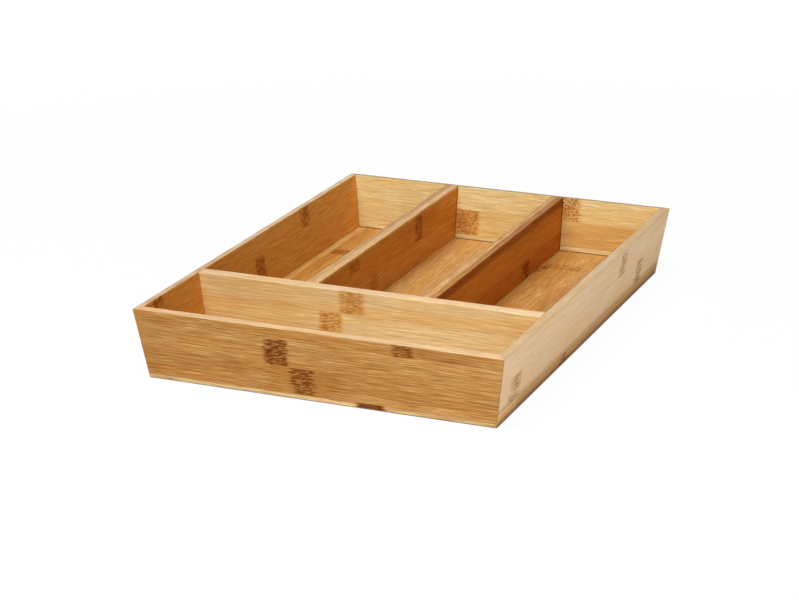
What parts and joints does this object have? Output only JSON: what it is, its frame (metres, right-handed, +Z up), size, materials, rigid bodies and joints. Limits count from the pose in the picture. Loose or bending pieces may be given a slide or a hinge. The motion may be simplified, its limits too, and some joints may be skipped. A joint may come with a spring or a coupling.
{
  "type": "drawer organizer",
  "caption": "Open bamboo tray with outward-leaning mitred walls and fixed dividers, which sorts cutlery in a drawer into a cross compartment in front and long ones behind.",
  "frame": {"origin": "middle of the tray's plan, on the surface that the tray stands on", "axes": "+X to the right and +Y to the back as seen from the cross compartment's side, +Z up"},
  "size_m": [0.2548, 0.3548, 0.049],
  "materials": {
    "wall_bamboo": "flat-pressed bamboo strips under a clear satin lacquer",
    "divider_bamboo": "flat-pressed bamboo strips under a clear satin lacquer",
    "floor_bamboo": "flat-pressed bamboo strips under a clear satin lacquer"
  },
  "bodies": {
    "root": {"floor_panel": "floor_bamboo", "front_wall": "wall_bamboo", "back_wall": "wall_bamboo", "left_wall": "wall_bamboo", "right_wall": "wall_bamboo", "cross_divider": "divider_bamboo", "left_divider": "divider_bamboo", "right_divider": "divider_bamboo"}
  },
  "joints": []
}
